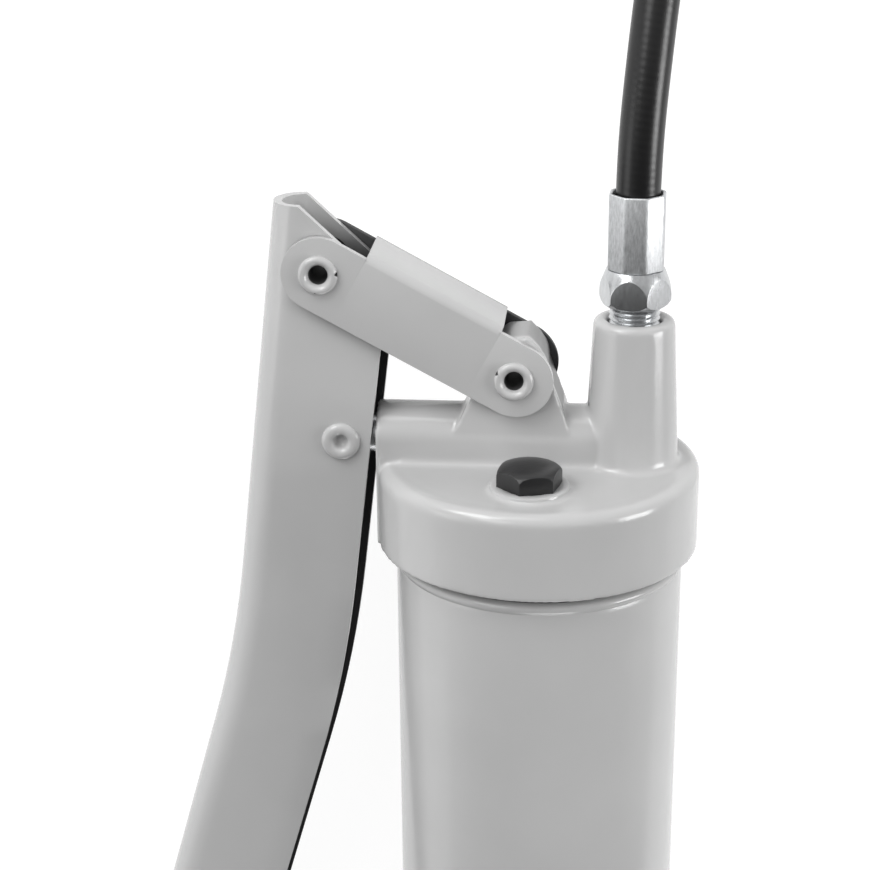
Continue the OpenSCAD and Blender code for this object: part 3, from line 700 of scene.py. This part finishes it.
slice_off(link, lambda p: web_from < p.x < web_to, (0, 0, web_z - bend), (0, 0, 1))
pick(link, lambda p: abs(p.z - web_z + bend) < 0.01 and web_from - 0.01 < p.x < web_to + 0.01, "EDGE")
bpy.ops.mesh.spin(steps=6, angle=math.radians(90), center=(0, side_y + bend, web_z - bend), axis=(1, 0, 0))
pick(link, lambda p: abs(p.z - web_z) < 0.01 and p.y > side_y + bend - 0.01, "EDGE")
pull((0, -side_y - bend, 0))
bpy.ops.object.mode_set(mode="OBJECT")
add_modifier(link, "MIRROR", use_axis=(False, True, False), merge_threshold=0.003)
weld(link)
front = min(link.data.polygons, key=lambda f: f.center.y)
if front.normal.y > 0:
    link.data.flip_normals()
# Painted shade: the link's inside faces take the near-black finish.
coat(link, enamel, shade_black)
thicken(link, link_t)
soften(link, 0.5, 50)
# The inner face of the rear plate is painted near black as shade as well.
rear_from, rear_to = 5, 7.7
for f in link.data.polygons:
    if rear_from < f.center.y < rear_to:
        f.material_index = 1
for v in link.data.vertices:
    if v.co.x > link_len:
        v.co.x += (v.co.x - link_len) / link_r * (front_longer if v.co.y < 0 else rear_longer)
drill(link, (0, 0, 0), rivet_r)
drill(link, (link_len, 0, 0), rivet_r)
link.matrix_world = Matrix.Translation(link_pin) @ Matrix.Rotation(link_lean, 4, "Y")
settle(link)
dress(link, "link", "paint", "link")

# Rivets of the link: tubular rivets through link and lever and through link and lug, rolled over at both
# ends. The rolled rims have small splits where the metal tore.
bore_r, bore_end = 1.75, 7.9
rolled = [(bore_r, 0.0), (bore_r, 7.5), (1.85, bore_end), (2.05, 8.35), (2.4, 8.75), (2.7, 8.95), (3.1, 8.95),
          (3.45, 8.78), (3.68, 8.45), (3.75, 8.15), (3.7, 7.8), (rivet_r, 7.8), (rivet_r, 0.0)]
split_at, split_size = (3.85, -8.6, 0), (1.1, 1.4, 0.6, 1)
lug_pin = Vector((-4.7, 0, 18))


def tubular_rivet(name, splits):
    """A rivet along y with splits at these angles in its front rim, its bore and splits painted near black as
    shade.
    """
    rivet = turned(name, rolled + [(r, -z) for r, z in reversed(rolled[:-1])], 56)
    coat(rivet, enamel, shade_black)
    rivet.matrix_world = Matrix.Rotation(math.radians(90), 4, "X")
    only(rivet)
    bpy.ops.object.transform_apply(rotation=True)
    # Painted shade: the bore's faces, and below the splits' cut faces, take the near-black finish.
    for f in rivet.data.polygons:
        in_bore = math.hypot(f.center.x, f.center.z) < bore_r + 0.07
        f.material_index = int(in_bore and abs(f.center.y) < bore_end)
    for angle in splits:
        bpy.ops.object.select_all(action="DESELECT")
        bpy.ops.mesh.primitive_cube_add(size=1)
        wedge = bpy.context.object
        coat(wedge, enamel, shade_black)
        for f in wedge.data.polygons:
            f.material_index = 1
        wedge.matrix_world = (Matrix.Rotation(-math.radians(angle), 4, "Y")
                              @ Matrix.Translation(split_at) @ Matrix.Diagonal(split_size)
                              @ Matrix.Rotation(math.radians(45), 4, "Y"))
        cut(rivet, wedge)
    return rivet


for name, pin, splits, stands_for in (
        ("lever_rivet", link_pin, (5, -99), "lever_link_rivet"),
        ("lug_rivet", lug_pin, (153,), "link_head_rivet")):
    rivet = tubular_rivet(name, splits)
    rivet.matrix_world = Matrix.Translation(pin)
    settle(rivet, laid, 60)
    dress(rivet, "link", "paint", stands_for)

# Bleeder plug: hexagon plug with a domed crown, turned from steel bar and blackened. It is screwed into the
# collar on the cap's top.
plug_af, plug_turn, plug_soft = 11, 46, 0.16
black_oxide = painted("black_plug", (0.012, 0.012, 0.0125), 0.34, 0.3, 900, 0.00008, 0.3)


def hexagon(name, across_flats, profile, turn, soft):
    """A hexagon bar, turned to a profile at its ends and softened along its edges."""
    crown = turned(name + "_crown", profile, 96)
    high = max(z for r, z in profile)
    bpy.ops.object.select_all(action="DESELECT")
    bpy.ops.mesh.primitive_cylinder_add(vertices=6, radius=across_flats / 2 / math.cos(math.radians(30)),
                                        depth=high + 2, location=(0, 0, high / 2),
                                        rotation=(0, 0, math.radians(turn)))
    bar = bpy.context.object
    bar.name = bar.data.name = name
    bpy.ops.object.transform_apply(location=True, rotation=True)
    cut(bar, crown, "INTERSECT")
    only(bar)
    bpy.ops.object.mode_set(mode="EDIT")
    bpy.ops.mesh.select_all(action="SELECT")
    bpy.ops.mesh.remove_doubles(threshold=0.004)
    bpy.ops.mesh.dissolve_limited(angle_limit=math.radians(1))
    bpy.ops.object.mode_set(mode="OBJECT")
    soften(bar, soft, 22)
    return bar


plug = hexagon("hex_plug", plug_af, [
    (0.001, 0.0), (6.4, 0.0), (6.4, 2.35), (6.0, 3.1), (5.6, 3.4), (5.0, 3.65), (4.1, 3.9), (3.1, 4.08),
    (1.8, 4.2), (0.001, 4.26)], plug_turn, plug_soft)
plug.matrix_world = Matrix.Translation((plug_x, plug_y, collar_h))
settle(plug, laid, 30)
dress(plug, "head", "plug", "bleeder_plug", black_oxide)

# Nipples: hexagon nipples with a turned round shoulder and a fine pipe thread, one screwed into the boss
# and one into the coupler. The crimped sleeves close over hose and nipple tail.
pitch, thread_low = 0.907, -10.4
root_r, crest_r = 4.35, 4.85
screw = []
for k in range(11):
    screw += [(root_r, thread_low + k * pitch), (crest_r, thread_low + (k + 0.5) * pitch)]
nipple_af, hex_h = 12, 6.9
fitting_turn = 18.5
nipple_profile = [
    (0.001, 0.0), (5.9, 0.0), (6.45, 0.45), (6.93, 1.2), (6.95, 2.0), (6.85, 3.0), (6.6, 4.1), (6.2, 5.2),
    (5.8, 6.2), (5.5, hex_h), (0.001, hex_h)]


def nipple(name, turn):
    """Hexagon, thread and bore mouth, drawn from the hexagon's base upward."""
    bar = hexagon(name, nipple_af, nipple_profile, turn, 0.1)
    thread = turned(name + "_thread", [(1.7, -9.6), (1.7, -10.5), (3.9, -10.5)] + screw
                    + [(root_r, -0.2), (root_r, 0.5)], 48)
    return join(bar, thread)


sleeve_l, sleeve_r = 14.5, 5.2


def sleeve(name):
    """Eight-sided crimped sleeve, drawn from its base upward, with a soft rim."""
    bpy.ops.object.select_all(action="DESELECT")
    bpy.ops.mesh.primitive_cylinder_add(vertices=8, radius=sleeve_r / math.cos(math.radians(22.5)),
                                        depth=sleeve_l, location=(0, 0, sleeve_l / 2),
                                        rotation=(0, 0, math.radians(fitting_turn)))
    crimped = bpy.context.object
    crimped.name = crimped.data.name = name
    bpy.ops.object.transform_apply(location=True, rotation=True)
    bpy.ops.object.mode_set(mode="EDIT")
    bpy.ops.mesh.select_mode(type="EDGE")
    bpy.ops.mesh.select_all(action="DESELECT")
    bpy.ops.object.mode_set(mode="OBJECT")
    for e in crimped.data.edges:
        a, b = (crimped.data.vertices[i].co for i in e.vertices)
        e.select = abs(a.z - b.z) > 1
    bpy.ops.object.mode_set(mode="EDIT")
    bpy.ops.mesh.bevel(offset=0.55, segments=4, affect="EDGES")
    pick(crimped, lambda p: p.z > sleeve_l - 0.1, "FACE")
    bpy.ops.mesh.inset(thickness=0.62, depth=0)
    pull((0, 0, -9))
    bpy.ops.object.mode_set(mode="OBJECT")
    soften(crimped, 0.28, 60)
    return crimped


crimped_zinc = bare_metal("crimped_zinc", (0.56, 0.57, 0.58), 0.4, 1.2, 3000, 0.0002, (1, 0.22, 1))
tip_turn = math.radians(-105)
at_head = laid @ Matrix.Translation((17.7, 0, 31.4))
at_tip = (Matrix.Scale(0.001, 4) @ Matrix.Translation((-37.87, 270.65, 7.5))
          @ Matrix.Rotation(tip_turn, 4, "Z")
          @ Matrix.Rotation(math.radians(90), 4, "Y") @ Matrix.Translation((0, 0, 15.9))
          @ Matrix.Rotation(math.radians(180), 4, "X"))
on_hose = []
for end, place in (("head", at_head), ("tip", at_tip)):
    fitting = nipple("nipple_" + end, fitting_turn)
    settle(fitting, place, 30)
    dress(fitting, "head", "zinc", "hose_nipple_" + end, zinc)
    ferrule = sleeve("sleeve_" + end)
    settle(ferrule, place @ Matrix.Translation((0, 0, hex_h)), 30)
    dress(ferrule, "head", "zinc", "hose_ferrule_" + end, crimped_zinc)
    if end == "tip":
        on_hose += [fitting, ferrule]
on_hose += [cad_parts[n] for n in ("coupler_body", "coupler_seal", "coupler_jaws", "coupler_sleeve")]

# Studio: a pale floor under the lying gun, white to the camera and to reflections, in a room that darkens
# behind the camera, with soft boxes at both sides, past the head and before the end cap.
bpy.ops.object.select_all(action="DESELECT")
bpy.ops.mesh.primitive_plane_add(size=8, location=(0, 0, -0.0003))
floor = bpy.context.object
floor.name = "floor"
pale, shader, nodes, links = new_finish("pale_floor", (0.8, 0.8, 0.8), 0.9)
shader.inputs["Specular IOR Level"].default_value = 0.0
path = nodes.new("ShaderNodeLightPath")
seen = nodes.new("ShaderNodeMath")
seen.operation = "MAXIMUM"
seen_all = nodes.new("ShaderNodeMath")
seen_all.operation = "MAXIMUM"
links.new(path.outputs["Is Camera Ray"], seen.inputs[0])
links.new(path.outputs["Is Glossy Ray"], seen.inputs[1])
links.new(seen.outputs[0], seen_all.inputs[0])
links.new(path.outputs["Is Transmission Ray"], seen_all.inputs[1])
faint = nodes.new("ShaderNodeBsdfDiffuse")
faint.inputs["Color"].default_value = (0.2, 0.2, 0.2, 1)
glow = nodes.new("ShaderNodeEmission")
glow.inputs["Strength"].default_value = 0.92
both = nodes.new("ShaderNodeAddShader")
choice = nodes.new("ShaderNodeMixShader")
links.new(faint.outputs[0], both.inputs[0])
links.new(glow.outputs[0], both.inputs[1])
links.new(seen_all.outputs[0], choice.inputs[0])
links.new(shader.outputs[0], choice.inputs[1])
links.new(both.outputs[0], choice.inputs[2])
links.new(choice.outputs[0], nodes["Material Output"].inputs["Surface"])
floor.data.materials.append(pale)

world = bpy.data.worlds.new("studio")
world.use_nodes = True
bpy.context.scene.world = world
nodes, links = world.node_tree.nodes, world.node_tree.links
room = nodes["Background"]
room.inputs["Color"].default_value = (1, 1, 1, 1)
heading = nodes.new("ShaderNodeTexCoord")
facing = nodes.new("ShaderNodeVectorMath")
facing.operation = "DOT_PRODUCT"
facing.inputs[1].default_value = Vector((0.05, -0.8, 0.6)).normalized()
dusk = nodes.new("ShaderNodeMapRange")
dusk.interpolation_type = "SMOOTHSTEP"
dusk.inputs["From Min"].default_value = 0.15
dusk.inputs["From Max"].default_value = 0.75
dusk.inputs["To Min"].default_value = 0.65
dusk.inputs["To Max"].default_value = 0.1
screen = nodes.new("ShaderNodeBackground")
screen.inputs["Color"].default_value = (1, 1, 1, 1)
screen.inputs["Strength"].default_value = 1.0
path = nodes.new("ShaderNodeLightPath")
choice = nodes.new("ShaderNodeMixShader")
links.new(heading.outputs["Generated"], facing.inputs[0])
links.new(facing.outputs["Value"], dusk.inputs["Value"])
links.new(dusk.outputs[0], room.inputs["Strength"])
links.new(path.outputs["Is Camera Ray"], choice.inputs[0])
links.new(room.outputs[0], choice.inputs[1])
links.new(screen.outputs[0], choice.inputs[2])
links.new(choice.outputs[0], nodes["World Output"].inputs["Surface"])
bpy.context.scene.view_settings.view_transform = "Standard"

box_size = 0.5
head_at = Vector((0, 0.1, 0.03))


def soft_box(name, place, level):
    """A square lamp, turned to the head, that lights it to this level."""
    lamp = bpy.data.objects.new(name, bpy.data.lights.new(name, "AREA"))
    lamp.data.size = box_size
    way = head_at - Vector(place)
    lamp.data.energy = level * math.pi ** 2 * way.length_squared
    lamp.matrix_world = Matrix.Translation(place) @ way.to_track_quat("-Z", "Y").to_matrix().to_4x4()
    bpy.context.scene.collection.objects.link(lamp)


soft_box("right_box", (0.983, 0.1, 0.718), 0.6)
soft_box("low_right_box", (1.088, -0.34, 0.279), 0.015)
soft_box("left_box", (-0.795, 0.678, 0.718), 0.18)
soft_box("low_left_box", (-1.173, 0.059, 0.279), 0.09)
soft_box("far_left_box", (-0.755, 0.999, 0.279), 0.5)
soft_box("far_box", (-0.284, 1.239, 0.279), 0.15)
soft_box("near_box", (0.1, -1.25, 0.2), 0.25)
